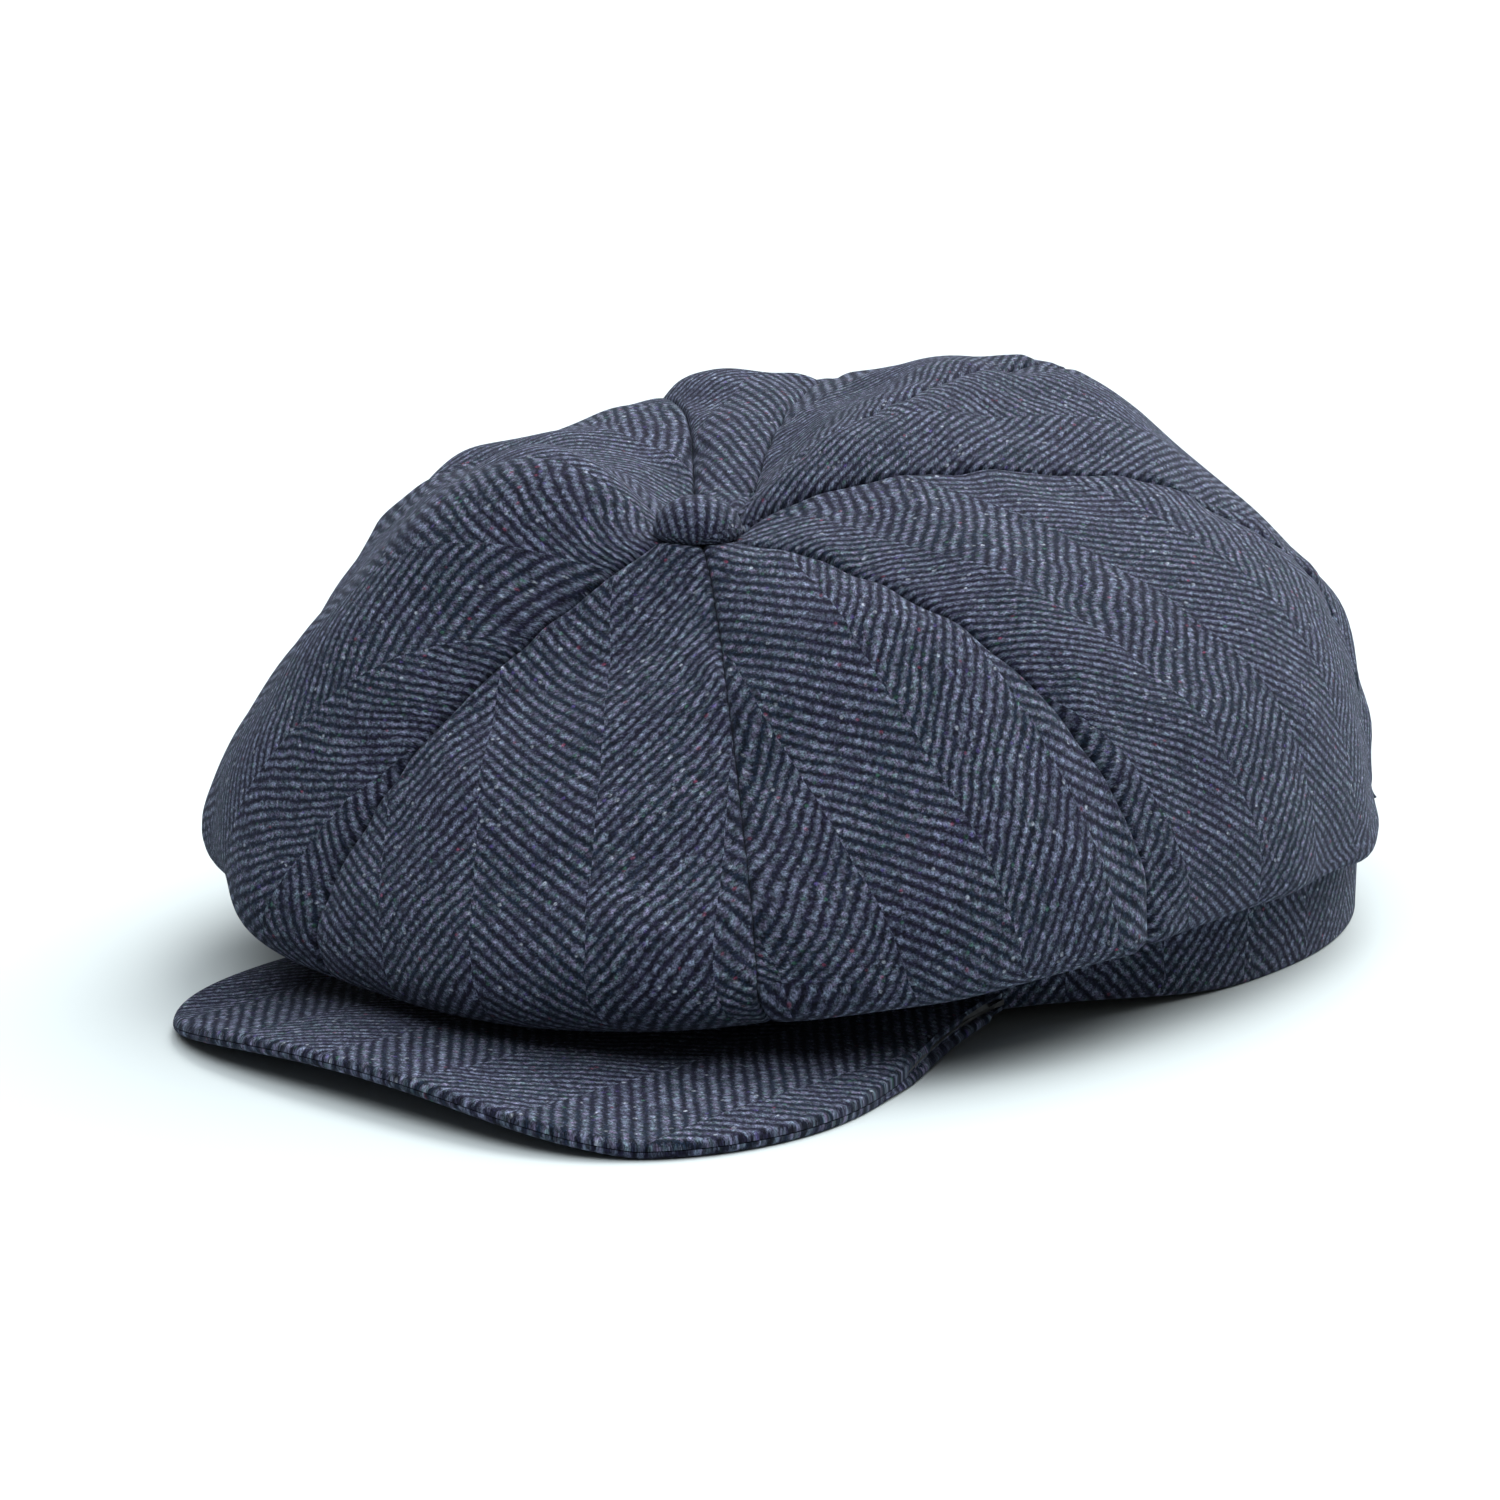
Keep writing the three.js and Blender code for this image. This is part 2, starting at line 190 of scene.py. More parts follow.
# Distances in from the visor's edge at which it has a line of points, squeezed where the visor
# is shorter from root to edge than its full length.
VISOR_EDGE_LINES = [7.5, 5.0, 3.4, 2.4, 1.8, 1.4, 1.0, 0.65, 0.35, 0.15, 0.04, 0]
VISOR_FULL_LENGTH = 16.0
# Half the gap between the two covers at the edge, and the swell of the upper one.
COVER_PARTING = 0.12
COVER_SWELL = 0.25
COVER_SWELL_BEGINS = (2, 14)
COVER_DEEPEST = -0.2
# Two points on the visor's middle line, ahead and up, where cloth would bend between cap and visor if
# the visor were lifted; they are only turned into frame coordinates below.
BEND_FROM = (50, 10)
BEND_TO = (78.5, -18.5)

# Button: a dome up from its rim. The cloth turns on over the rim, and is drawn in under it.
BUTTON_RADIUS = 9.3
BUTTON_HEIGHT = 8.8
BUTTON_RIM = 1.4
BUTTON_TUCK = math.radians(128)
BUTTON_CLOTH = 0.6
BUTTON_TUCK_IN = 0.9
BUTTON_TUCK_DROP = 1.3
# The gathers in the button's cloth under its rim: their depth in millimetres, and how many there are
# round the button.
GATHER_DEPTH = 0.16
GATHERS = 9

# Tweed: the width of a herringbone column, the spacing of its slanted lines and of the beads
# along a line.
COLUMN = 25.0
TWILL_PITCH = 3.55
BEAD = 2.7
# How each panel lies on the weave: its turn in degrees, the shift and the bow of its columns.
PANEL_GRAIN = [
    (-15, 10, 7), (-6, 2, -15), (16, 1, -13), (10, 36, -14),
    (20, 20, 0), (18, 14, -1), (-25, 19, 8), (12, 46, 7),
]
# How far down a panel its columns' bow turns back.
GRAIN_MIDDLE = 90.0
# Steps across and along the weave from one panel's cut to the next.
PANEL_WEAVE_STEP = (14 * COLUMN, 331.0)
# How the weave strays: the fineness and detail of the noise, its reach and its roughness.
WEAVE_DRIFT = (0.04, 2, 2.5)
WEAVE_WOBBLE = (0.35, 2, 0.75)
YARN_RAGGEDNESS = (1.1, 4, 2.0, 0.8)
# How far across a line the yarn begins and is full, the painted shade that darkens each bead towards
# its ends, and how much the beads' tone and the grain darken it.
YARN_EDGE = (0.14, 0.92)
BEAD_END_SHADE = (0.55, 1.0)
BEAD_BRIGHTNESS = (0.55, 1.3)
COARSE_GRAIN = (0.4, 1.6)
FINE_GRAIN = (0.2, 1.85)
# How far the yarn stands up, in metres.
YARN_RELIEF = 0.0003
YARN_TEAL = "566970"
YARN_PURPLE = "635b76"
YARN_BLUE = "5b647b"
GROUND_TEAL = "101a28"
GROUND_PURPLE = "161526"
FLECK_GREEN = "2f5545"
FLECK_VIOLET = "453a70"
FLECK_RED = "6a3044"
FLECK_GREY = "8f97a3"
FLECK_RARITY = 0.9
FLECK_STRENGTH = 0.6
SHEEN = "b9c4dc"

# Floor, light and camera. The camera's place is in cap coordinates, and the size of the floor
# and the camera's farthest reach are in metres.
FLOOR_HALF = 12.0
FLOOR_TONES = ("b8c1c3", "bdc6c8")
WORLD_LIGHT = 0.15
WARM_WHITE = (1.0, 0.99, 0.97)
COOL_WHITE = (0.96, 0.98, 1.0)
CAMERA_PLACE = [760.57, -877.76, 307.12]
CAMERA_AZIMUTH = math.radians(43)
CAMERA_ELEVATION = math.radians(13)
CAMERA_SENSOR = 36
CAMERA_LENS = 130.6
CAMERA_FAR = 60


def place(left, ahead, up):
    return np.stack(np.broadcast_arrays(left, -np.asarray(ahead), up), -1).astype(float)


def unit(v):
    return v / np.maximum(np.linalg.norm(v, axis=-1, keepdims=True), 1e-12)


def lerp(a, b, t):
    return a + (b - a) * t


def smoothstep(x, lo, hi):
    t = np.clip((x - lo) / (hi - lo), 0, 1)
    return t * t * (3 - 2 * t)


def around(shape, angle):
    """The value of one of the wave lists above at an angle."""
    total = shape[0]
    for turns, (cosine, sine) in enumerate(shape[1:], 1):
        total = total + cosine * np.cos(turns * angle) + sine * np.sin(turns * angle)
    return total


def bezier(p0, p1, p2, p3, t):
    s = 1 - t
    return p0 * s ** 3 + p1 * 3 * t * s * s + p2 * 3 * t * t * s + p3 * t ** 3


_band_low, _band_high = (np.array(c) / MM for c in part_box("headband_outer"))
ORIGIN = (_band_low + _band_high) / 2 - np.array([BAND_LEFT, -BAND_AHEAD, 0])
ORIGIN[2] = 0


def to_frame(points):
    """Millimetres in cap coordinates to metres in the frame."""
    return (np.asarray(points) + ORIGIN) * MM


class Waves:
    """A smooth random field: a sum of plane waves of similar length in random directions."""

    COUNT = 28

    def __init__(self, seed, shortest, longest):
        count = self.COUNT
        rng = np.random.default_rng(seed)
        direction = unit(rng.normal(size=(count, 3)))
        length = np.exp(rng.uniform(np.log(shortest), np.log(longest), count))
        self.k = direction * (2 * PI / length)[:, None]
        self.phase = rng.uniform(0, 2 * PI, count)
        self.scale = math.sqrt(2 / count)

    def __call__(self, points):
        return np.cos(points @ self.k.T + self.phase).sum(-1) * self.scale


# --- Crown surface ---------------------------------------------------------------------------

def crown_equator(angle):
    sin, cos = np.sin(angle), np.cos(angle)
    bulge = np.where(cos > 0, CROWN_FRONT_BULGE, CROWN_BACK_BULGE) * np.abs(np.sin(2 * angle))
    reach = np.where(cos > 0, CROWN_FRONT_REACH, CROWN_BACK_REACH)
    return place(
        CROWN_LEFT + CROWN_SIDE_REACH * sin + bulge * np.sign(sin),
        CROWN_AHEAD + reach * cos + bulge * np.sign(cos),
        around(EQUATOR_HEIGHT, angle),
    )


def band_point(angle, outset, up):
    return place(
        BAND_LEFT + (BAND_HALF_WIDTH + outset) * np.sin(angle),
        BAND_AHEAD + (BAND_HALF_LENGTH + outset) * np.cos(angle),
        up,
    )


def seam_point(equator):
    outset = BAND_CLOTH + LAYER_GAP
    angle = np.arctan2(
        (equator[..., 0] - BAND_LEFT) / (BAND_HALF_WIDTH + outset),
        (-equator[..., 1] - BAND_AHEAD) / (BAND_HALF_LENGTH + outset),
    )
    return band_point(angle, outset, BAND_TOP)


def crown_meridian(angle, t):
    """One line of the crown: from under the button over the top, then under to the band."""
    angle, t = np.broadcast_arrays(angle, t)
    t = t[..., None]
    centre = place(0, BUTTON_AHEAD, BUTTON_SEAT_Z)
    equator = crown_equator(angle)
    outward = (equator - centre) * [1, 1, 0]
    distance = np.linalg.norm(outward, axis=-1) - SEAT_RADIUS
    outward = unit(outward)
    lean = math.radians(CROWN_FRONT_LEAN) * np.maximum(np.cos(angle), 0) ** 2
    fall = outward * np.sin(lean)[..., None]
    fall[..., 2] = -np.cos(lean)
    seat = centre + outward * lerp(CENTRE_HOLE, SEAT_RADIUS, np.clip(t / SEAT_END, 0, 1))
    start = centre + outward * SEAT_RADIUS
    rise = np.radians(around(SLOPE_AT_BUTTON, angle))
    pull = around(SLOPE_REACH, angle) * distance
    share = np.maximum(LEAST_SHOULDER, around(SHOULDER_HEIGHT, angle))
    shoulder = share * (BUTTON_SEAT_Z - equator[..., 2])
    leave = start + outward * (pull * np.cos(rise))[..., None]
    leave[..., 2] += pull * np.sin(rise)
    arrive = equator - fall * shoulder[..., None]
    upper = bezier(start, leave, arrive, equator, np.clip((t - SEAT_END) / (EQUATOR - SEAT_END), 0, 1))
    seam = seam_point(equator)
    fold_z = around(FOLD_HEIGHT, angle)
    drop = equator + fall * (equator[..., 2] - fold_z)[..., None]
    under = lerp(seam, equator, FOLD_REACH)
    under[..., 2] = fold_z
    lower = bezier(equator, drop, under, seam, np.clip((t - EQUATOR) / (1 - EQUATOR), 0, 1))
    return np.where(t < SEAT_END, seat, np.where(t < EQUATOR, upper, lower))


CROWN_HEART = place(0, CROWN_HEART_AHEAD, CROWN_HEART_UP)


def seam_angle(index, t):
    bend = smoothstep(t, SEAM_BEND_START, EQUATOR)
    return np.radians(lerp(SEAM_ANGLES[index], RIM_SEAM_ANGLES[index], bend))


def panel_angle(index, t, across):
    return lerp(seam_angle(index, t), seam_angle(index + 1, t), across)


def seam_depth(index):
    """How far a seam lies inside the meridians, so that both its panels meet there."""
    return SEAM_SINK * (PANEL_PUFF[index - 1] + PANEL_PUFF[index % len(PANEL_PUFF)])


def panel_base(index, t, across):
    """A panel's face before wrinkles: the meridians, puffed out between the seams."""
    point = crown_meridian(panel_angle(index, t, across), t)
    depth = lerp(seam_depth(index), seam_depth(index + 1), across)
    puff = PANEL_PUFF[index] * np.sin(PI * np.clip(across, 0, 1)) ** PUFF_ACROSS - depth
    puff = puff * np.sin(PI * np.clip(t, 0, 1)) ** PUFF_ALONG
    return point + unit(point - CROWN_HEART) * puff[..., None]


def crown_normal(angle, t):
    """The crown's outward direction without the puffs, so the same on both sides of a seam."""
    step = 1e-3
    low, high = np.clip(t - step, 0, 1), np.clip(t + step, 0, 1)
    along = crown_meridian(angle, high) - crown_meridian(angle, low)
    sideways = crown_meridian(angle + step, t) - crown_meridian(angle - step, t)
    return unit(np.cross(along, sideways))


def grid_normals(points):
    """The outward direction at each point of a grid."""
    along = np.gradient(points, axis=0)
    across = np.gradient(points, axis=1)
    return unit(np.cross(along, across))


def run_lengths(points, axis):
    """How far each point of a grid lies along its own line."""
    step = np.linalg.norm(np.diff(points, axis=axis), axis=-1)
    total = np.cumsum(step, axis=axis)
    pad = [(0, 0), (0, 0)]
    pad[axis] = (1, 0)
    return np.pad(total, pad)


BROAD = Waves(seed=3, shortest=55, longest=130)
MEDIUM = Waves(seed=5, shortest=20, longest=42)
PUCKER = Waves(seed=8, shortest=9, longest=16)


def seam_profile(distance, round_radius, draw, reach):
    """How far the cloth sinks near a seam: rounded over at the edge, and drawn in beyond it."""
    inside = np.clip(round_radius - distance, 0, None)
    roll = round_radius - np.sqrt(np.maximum(round_radius ** 2 - inside ** 2, 0))
    return roll + draw * np.exp(-distance / reach)


def meridian_steps(rows):
    """Steps down a panel, with a line of points exactly where the seat ends and at the equator."""
    seat_rows, upper_rows, lower_rows = 7, int(rows * 0.62), int(rows * 0.38)
    return np.concatenate([
        np.linspace(0, SEAT_END, seat_rows)[:-1],
        np.linspace(SEAT_END, EQUATOR, upper_rows)[:-1],
        np.linspace(EQUATOR, 1, lower_rows),
    ])[:, None]


def lumps(points):
    """How far the listed swellings and dents move the cloth out."""
    total = 0
    for left, ahead, up, reach, height in LUMPS:
        distance = np.linalg.norm(points - place(left, ahead, up), axis=-1)
        total = total + height * np.exp(-(distance / reach) ** 2)
    return total


def panel_grid(index, rows, columns):
    """The outer face of one crown panel, with its cloth coordinates in millimetres."""
    t = meridian_steps(rows)
    across = (0.5 - 0.5 * np.cos(PI * np.linspace(0, 1, columns)))[None, :]
    base = panel_base(index, t, across)
    width = run_lengths(base, 1)
    total = width[:, -1:]
    distance = np.minimum(width, total - width)
    normal = crown_normal(panel_angle(index, t, across), t)
    fade = smoothstep(t, *WRINKLES_BEGIN) * (1 - smoothstep(t, *WRINKLES_FADE))
    steady = 1 - smoothstep(t, *LUMPS_FADE)
    swell = BROAD_SWELL * BROAD(base) + MEDIUM_SWELL * MEDIUM(base)
    pucker = PUCKER_HEIGHT * PUCKER(base) * np.exp(-distance / PUCKER_REACH)
    edge = np.minimum(SEAM_ROLL, SEAM_ROLL_SHARE * total)
    draw = SEAM_DRAW * smoothstep(total, *SEAM_DRAW_WIDTHS)
    sink = seam_profile(distance, edge, draw, SEAM_DRAW_REACH)
    face = base + normal * ((swell + pucker) * fade + lumps(base) * steady - sink)[..., None]
    middle = columns // 2
    cloth = np.stack([
        width - width[:, middle:middle + 1],
        np.broadcast_to(run_lengths(base, 0)[:, middle:middle + 1], width.shape),
    ], -1)
    return face, cloth


# --- Meshes ----------------------------------------------------------------------------------

def grid_faces(rows, columns, first, flip, closed=False):
    """Quads over a grid of vertex numbers that starts at first and may close on itself sideways."""
    wide = columns if closed else columns - 1
    i, j = np.meshgrid(np.arange(rows - 1), np.arange(wide), indexing="ij")
    k = (j + 1) % columns
    quad = np.stack([
        first + i * columns + j, first + (i + 1) * columns + j,
        first + (i + 1) * columns + k, first + i * columns + k,
    ], -1).reshape(-1, 4)
    return quad[:, ::-1] if flip else quad


SHARP_EDGE = math.radians(50)


def make_object(name, points, faces, cloth, material):
    """points are in millimetres in cap coordinates, and cloth gives each one's place in the weave."""
    mesh = bpy.data.meshes.new(name)
    mesh.from_pydata(to_frame(points).tolist(), [], [list(map(int, face)) for face in faces])
    layer = mesh.uv_layers.new(name="cloth")
    loops = np.empty(len(mesh.loops), dtype=np.int32)
    mesh.loops.foreach_get("vertex_index", loops)
    layer.data.foreach_set("uv", np.asarray(cloth, dtype=np.float32)[loops].ravel())
    mesh.materials.append(material)
    mesh.polygons.foreach_set("use_smooth", np.ones(len(mesh.polygons), dtype=bool))
    mesh.set_sharp_from_angle(angle=SHARP_EDGE)
    mesh.validate()
    obj = bpy.data.objects.new(name, mesh)
    bpy.context.scene.collection.objects.link(obj)
    return obj


def cloth_solid(name, face, thickness, cloth, material, offset=(0, 0)):
    """A closed sheet: the outer face, an inner face one thickness behind, and its four edges."""
    rows, columns = face.shape[:2]
    back = face - grid_normals(face) * thickness
    points = np.concatenate([face.reshape(-1, 3), back.reshape(-1, 3)])
    count = rows * columns
    faces = [grid_faces(rows, columns, 0, False), grid_faces(rows, columns, count, True)]
    number = np.arange(count).reshape(rows, columns)
    edges = ((number[0], False), (number[-1], True), (number[:, 0], True), (number[:, -1], False))
    for line, flip in edges:
        wall = np.stack([line[:-1], line[1:], line[1:] + count, line[:-1] + count], -1)
        faces.append(wall[:, ::-1] if flip else wall)
    weave = np.concatenate([cloth.reshape(-1, 2)] * 2) + np.asarray(offset)
    return make_object(name, points, np.concatenate(faces), weave, material)


def ring_solid(name, loop_points, cloth, material):
    """A closed ring from a grid whose rows run round the profile and columns round the ring."""
    rows, columns = loop_points.shape[:2]
    i, j = np.meshgrid(np.arange(rows), np.arange(columns), indexing="ij")
    a, b = (i + 1) % rows, (j + 1) % columns
    quad = np.stack([i * columns + j, i * columns + b, a * columns + b, a * columns + j], -1)
    points, weave = loop_points.reshape(-1, 3), cloth.reshape(-1, 2)
    return make_object(name, points, quad.reshape(-1, 4), weave, material)


# --- Materials -------------------------------------------------------------------------------

def srgb(hex_colour):
    """A colour written as six hexadecimal digits, as the linear values that a shader takes."""
    channels = [int(hex_colour[i:i + 2], 16) / 255 for i in (0, 2, 4)]
    return [c / 12.92 if c <= 0.04045 else ((c + 0.055) / 1.055) ** 2.4 for c in channels] + [1]


class Graph:
    """Short ways to wire a material's nodes."""

    def __init__(self, name):
        self.material = bpy.data.materials.new(name)
        self.material.use_nodes = True
        self.tree = self.material.node_tree
        self.shader = self.tree.nodes["Principled BSDF"]

    def node(self, kind, inputs=None, **settings):
        made = self.tree.nodes.new(kind)
        for key, value in settings.items():
            setattr(made, key, value)
        for key, value in (inputs or {}).items():
            self.feed(made.inputs[key], value)
        return made

    def feed(self, socket, value):
        if isinstance(value, bpy.types.NodeSocket):
            self.tree.links.new(value, socket)
        else:
            socket.default_value = value

    def math(self, operation, *values):
        made = self.node("ShaderNodeMath", operation=operation)
        for socket, value in zip(made.inputs, values):
            self.feed(socket, value)
        return made.outputs[0]

    def vector(self, x, y, z=0.0):
        return self.node("ShaderNodeCombineXYZ", {0: x, 1: y, 2: z}).outputs[0]

    def noise(self, vector, scale, detail=2.0, roughness=0.5):
        made = self.node("ShaderNodeTexNoise", {
            "Vector": vector, "Scale": scale, "Detail": detail, "Roughness": roughness,
        })
        return made.outputs[0]

    def around_zero(self, vector, scale, detail, reach, roughness=0.5):
        """Noise that runs from -reach to reach."""
        noise = self.noise(vector, scale, detail, roughness)
        return self.math("MULTIPLY_ADD", noise, 2 * reach, -reach)

    def white(self, vector):
        made = self.node("ShaderNodeTexWhiteNoise", {"Vector": vector}, noise_dimensions="3D")
        return made.outputs["Value"]

    def step(self, value, lo, hi, to_lo=0.0, to_hi=1.0):
        """Runs smoothly from to_lo, where the value is lo, to to_hi, where it is hi."""
        made = self.node("ShaderNodeMapRange", {
            "Value": value, "From Min": lo, "From Max": hi, "To Min": to_lo, "To Max": to_hi,
        }, interpolation_type="SMOOTHSTEP")
        return made.outputs[0]

    def mix(self, factor, a, b, blend="MIX"):
        """Mixes two colours. The node's colour sockets are known by number only."""
        made = self.node("ShaderNodeMix", data_type="RGBA", blend_type=blend)
        self.feed(made.inputs[0], factor)
        self.feed(made.inputs[6], a)
        self.feed(made.inputs[7], b)
        return made.outputs[2]

    def grey(self, value):
        return self.node("ShaderNodeCombineColor", {0: value, 1: value, 2: value}).outputs[0]

    def bump(self, height, distance):
        made = self.node("ShaderNodeBump", {"Height": height, "Distance": distance, "Strength": 1.0})
        return made.outputs[0]


def cloth_axes(graph):
    """The cloth coordinates in millimetres, across and along the weave."""
    uv = graph.node("ShaderNodeUVMap", uv_map="cloth").outputs[0]
    split = graph.node("ShaderNodeSeparateXYZ", {0: uv})
    return split.outputs[0], split.outputs[1]


def triangle(graph, value):
    """Rises from 0 to 1 and falls back over each whole step of the value."""
    part = graph.math("FRACT", value)
    return graph.math("SUBTRACT", 1, graph.math("ABSOLUTE", graph.math("MULTIPLY_ADD", part, 2, -1)))


def twill_yarn_and_bead_shade(g, flat, across, along):
    """How far light yarn shows: slanted lines of beads, in columns whose slant turns back and forth,
    with painted shade darkening each bead towards its ends.
    """
    stray = g.math("ADD", g.around_zero(flat, *WEAVE_DRIFT), g.around_zero(flat, *WEAVE_WOBBLE))
    ragged = g.around_zero(flat, *YARN_RAGGEDNESS)
    x = g.math("MULTIPLY_ADD", stray, 0.5, across)
    y = g.math("ADD", along, stray)
    always_positive = 1000
    column = g.math("FLOOR", g.math("ADD", g.math("DIVIDE", x, COLUMN), always_positive))
    parity = g.math("MODULO", column, 2)
    slant = g.math("PINGPONG", x, COLUMN)
    line = g.math("DIVIDE", g.math("ADD", g.math("ADD", y, slant), ragged), TWILL_PITCH)
    line = g.math("MULTIPLY_ADD", parity, 0.5, line)
    line_number = g.math("FLOOR", line)
    yarn = g.step(triangle(g, line), *YARN_EDGE)
    offset = g.white(g.vector(line_number, column, 7.0))
    bead = g.math("MULTIPLY_ADD", offset, 5, g.math("DIVIDE", g.math("SUBTRACT", slant, y), BEAD))
    chance = g.white(g.vector(line_number, g.math("FLOOR", bead), column))
    # Painted shade: each bead is darkened towards its ends, as if shaded where the yarn rounds under.
    painted_bead_shade = g.step(triangle(g, bead), 0.0, 0.9, *BEAD_END_SHADE)
    bright = g.step(chance, 0.0, 1.0, *BEAD_BRIGHTNESS)
    return g.math("MULTIPLY", yarn, g.math("MULTIPLY", painted_bead_shade, bright))


def add_flecks(g, flat, colour):
    """Rare small spots of coloured wool."""
    cell = g.node("ShaderNodeTexVoronoi", {"Vector": flat, "Scale": 0.75}, feature="F1")
    pick = g.node("ShaderNodeSeparateColor", {0: cell.outputs["Color"]})
    near = g.step(cell.outputs["Distance"], 0.15, 0.5, 1.0, 0.0)
    ramp = g.node("ShaderNodeValToRGB", {0: pick.outputs[1]})
    ramp.color_ramp.interpolation = "CONSTANT"
    ramp.color_ramp.elements[0].color = srgb(FLECK_GREEN)
    ramp.color_ramp.elements[1].position = 0.28
    ramp.color_ramp.elements[1].color = srgb(FLECK_VIOLET)
    for position, fleck in ((0.5, FLECK_RED), (0.62, FLECK_GREY)):
        stop = ramp.color_ramp.elements.new(position)
        stop.color = srgb(fleck)
    rare = g.math("GREATER_THAN", pick.outputs[0], FLECK_RARITY)
    share = g.math("MULTIPLY", g.math("MULTIPLY", near, rare), FLECK_STRENGTH)
    return g.mix(share, colour, ramp.outputs[0])


def tweed_material():
    """Herringbone wool: rough light yarn in mixed colours over a dark ground, with rare flecks."""
    g = Graph("tweed")
    across, along = cloth_axes(g)
    flat = g.vector(across, along)
    # yarn holds the light yarn's share, with painted shade at each bead's ends; it sets the colour mix
    # and part of the bump.
    yarn = twill_yarn_and_bead_shade(g, flat, across, along)
    coarse = g.step(g.noise(flat, 0.8, 2, 0.6), 0.3, 0.7, *COARSE_GRAIN)
    fibre = g.noise(flat, 2.3, 3, 0.8)
    fine = g.step(fibre, 0.32, 0.68, *FINE_GRAIN)
    cloud = g.noise(flat, 0.05, 4, 0.7)
    patch = g.noise(g.vector(across, along, 40.0), 0.7, 3, 0.7)
    light = g.mix(g.step(patch, 0.36, 0.64), srgb(YARN_TEAL), srgb(YARN_PURPLE))
    light = g.mix(g.step(cloud, 0.35, 0.65, 0.0, 0.7), light, srgb(YARN_BLUE))
    dark = g.mix(g.step(cloud, 0.4, 0.6), srgb(GROUND_TEAL), srgb(GROUND_PURPLE))
    colour = add_flecks(g, flat, g.mix(yarn, dark, light))
    colour = g.mix(1.0, colour, g.grey(g.math("MULTIPLY", coarse, fine)), "MULTIPLY")
    g.feed(g.shader.inputs["Base Color"], colour)
    g.feed(g.shader.inputs["Roughness"], 0.95)
    g.feed(g.shader.inputs["Specular IOR Level"], 0.1)
    g.feed(g.shader.inputs["Sheen Weight"], 0.08)
    g.feed(g.shader.inputs["Sheen Roughness"], 0.5)
    g.feed(g.shader.inputs["Sheen Tint"], srgb(SHEEN))
    height = g.math("ADD", g.math("MULTIPLY", yarn, 0.7), g.math("MULTIPLY", fibre, 0.5))
    g.feed(g.shader.inputs["Normal"], g.bump(height, YARN_RELIEF))
    return g.material


def woven_material(name, dark, light, thread, roughness, relief):
    """A plain fine weave or ribbed tape."""
    g = Graph(name)
    across, along = cloth_axes(g)
    flat = g.vector(across, along)
    over = g.math("SINE", g.math("MULTIPLY", across, 2 * PI / thread))
    under = g.math("SINE", g.math("MULTIPLY", along, 2 * PI / thread))
    weave = g.math("MULTIPLY_ADD", g.math("MULTIPLY", over, under), 0.5, 0.5)
    cloud = g.noise(flat, 0.15, 4)
    shade = g.math("ADD", g.math("MULTIPLY", weave, 0.6), g.math("MULTIPLY", cloud, 0.4))
    g.feed(g.shader.inputs["Base Color"], g.mix(shade, srgb(dark), srgb(light)))
    g.feed(g.shader.inputs["Roughness"], roughness)
    g.feed(g.shader.inputs["Normal"], g.bump(weave, relief))
    return g.material


def grained_material(name, colour, metallic, roughness):
    """A fine grain, for plated steel and for moulded board."""
    g = Graph(name)
    where = g.node("ShaderNodeTexCoord").outputs["Object"]
    grain = g.noise(where, 900, 3)
    tone = g.mix(g.step(grain, 0.3, 0.7, 0, 0.3), srgb(colour), srgb("6a6d70"))
    g.feed(g.shader.inputs["Base Color"], tone)
    g.feed(g.shader.inputs["Metallic"], metallic)
    g.feed(g.shader.inputs["Roughness"], g.step(grain, 0.3, 0.7, roughness, roughness + 0.15))
    return g.material


TWEED = tweed_material()
SATIN = woven_material("lining_satin", "14161c", "262933", 0.6, 0.45, 0.00004)
TAPE = woven_material("sweatband_tape", "15171d", "2b2e38", 1.6, 0.7, 0.0002)
CANVAS = woven_material("canvas", "b9b19c", "ded8c8", 0.9, 0.9, 0.0002)
LABEL = woven_material("label", "d4d4ce", "eeeeea", 0.4, 0.8, 0.00005)
BOARD = grained_material("visor_board", "2b2b2b", 0.0, 0.6)
STEEL = grained_material("button_steel", "b8bcc0", 1.0, 0.3)

BEND_START = tuple(to_frame(place(0, *BEND_FROM)))
BEND_END = tuple(to_frame(place(0, *BEND_TO)))


def stands_for(node):
    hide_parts(node)


def bends(obj):
    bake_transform(obj)


# --- Crown panels and lining -----------------------------------------------------------------

def lining_face(panel_face, t):
    """The panel made smaller, then run in from its widest line to a hem above the headband."""
    heart = place(*LINING_HEART)
    face = heart + (panel_face - heart) * LINING_SCALE
    rim = face[np.searchsorted(t[:, 0], EQUATOR)]
    hem = face[-1].copy()
    hem[:, 2] = LINING_HEM_Z
    share = np.clip((t - EQUATOR) / (1 - EQUATOR), 0, 1)[..., None]
    floor = lerp(rim, hem, share)
    floor[..., 2] += LINING_ARCH * np.sin(PI * share[..., 0])
    return np.where(share > 0, floor, face)


def on_grain(cloth, index):
    """The cloth coordinates turned, moved and bowed to the way this panel was cut."""
    turn, shift, bow = PANEL_GRAIN[index]
    sin, cos = math.sin(math.radians(turn)), math.cos(math.radians(turn))
    across = cloth[..., 0] * cos + cloth[..., 1] * sin
    along = cloth[..., 1] * cos - cloth[..., 0] * sin
    reach = along / GRAIN_MIDDLE - 1
    slope = 2 * bow * reach / GRAIN_MIDDLE
    return np.stack([across + bow * reach ** 2 + shift, along - across * slope], -1)


